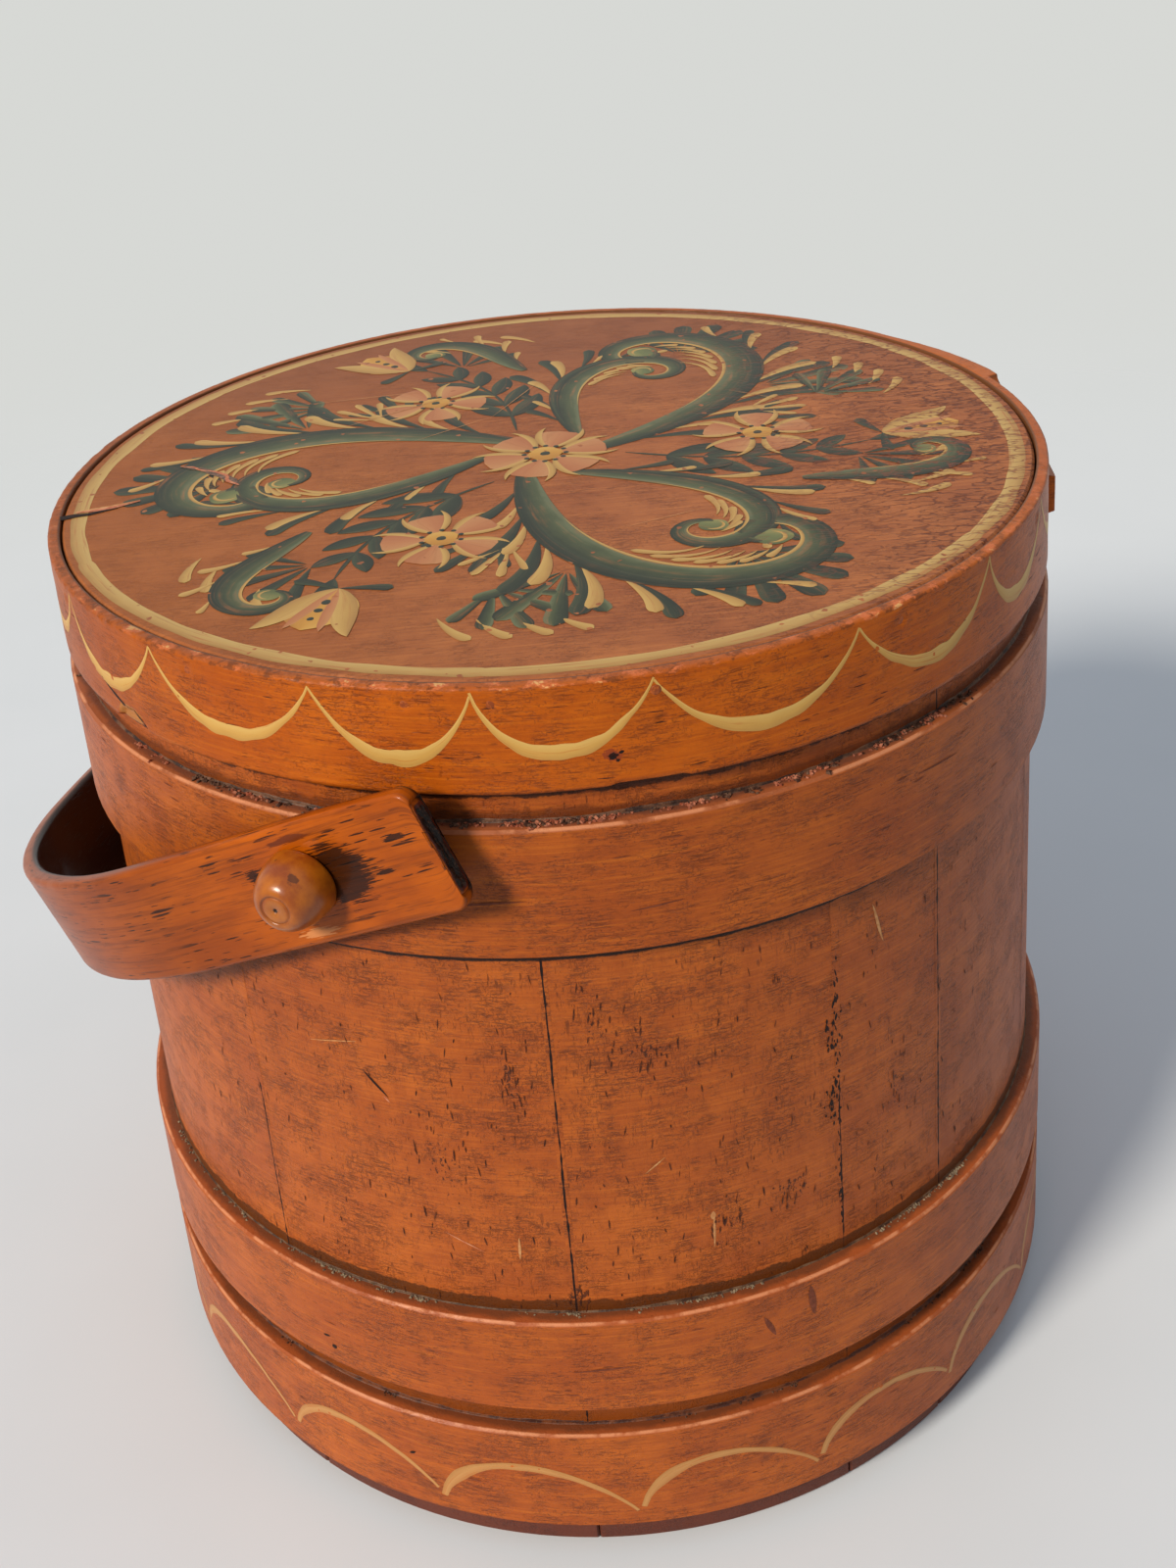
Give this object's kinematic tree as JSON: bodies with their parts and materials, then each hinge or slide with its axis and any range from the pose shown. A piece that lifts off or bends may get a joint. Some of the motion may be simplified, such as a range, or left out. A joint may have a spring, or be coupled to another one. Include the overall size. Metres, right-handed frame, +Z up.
{
  "type": "lidded stave bucket",
  "caption": "Lidded wooden pantry bucket of painted staves with wooden hoops, a bent wood handle on turned pegs and a painted round lid.",
  "frame": {"origin": "centre of the circle that the stave feet stand on, on the bucket's upright axis", "axes": "+Z up along the bucket's axis, -Y towards the near handle peg, -X towards the side where the handle hangs"},
  "size_m": [0.3261, 0.338, 0.299],
  "materials": {
    "painted_pine": "old oil paint on pine, worn and varnished",
    "bare_pine": "bare aged pine",
    "painted_hoop": "old oil paint on ash hoop, rubbed at the edges",
    "lid_paint": "matt terracotta paint with brushed ornament",
    "rim_paint": "satin terracotta paint with a cream scallop line",
    "strap_wood": "bent ash, dark varnish worn along the edges",
    "peg_wood": "turned hardwood, glossy varnish",
    "iron": "old iron nails, dull and painted over"
  },
  "bodies": {
    "bucket": {"stave_01": "painted_pine", "stave_02": "painted_pine", "stave_03": "painted_pine", "stave_04": "painted_pine", "stave_05": "painted_pine", "stave_06": "painted_pine", "stave_07": "painted_pine", "stave_08": "painted_pine", "stave_09": "painted_pine", "stave_10": "painted_pine", "stave_11": "painted_pine", "stave_12": "painted_pine", "stave_13": "painted_pine", "stave_14": "painted_pine", "stave_15": "painted_pine", "bottom_board": "bare_pine", "bottom_hoop": "painted_hoop", "bottom_hoop_nails": "iron", "middle_hoop": "painted_hoop", "middle_hoop_nails": "iron", "upper_hoop": "painted_hoop", "upper_hoop_nails": "iron", "handle_peg_near": "peg_wood", "handle_peg_far": "peg_wood"},
    "lid": {"lid_board": "lid_paint", "lid_rim": "rim_paint", "lid_rim_nails": "iron", "lid_lap_nails": "iron"},
    "handle": {"handle": "strap_wood"}
  },
  "joints": [
    {"name": "handle_swing", "type": "hinge", "parent": "bucket", "child": "handle", "pos_m": [0, 0, 0.2479], "axis": [0, 1, 0], "range_deg": [0, 228]},
    {"name": "lid_lift", "type": "slide", "parent": "bucket", "child": "lid", "axis": [0, 0, 1], "range_m": [0, 0.1]}
  ]
}
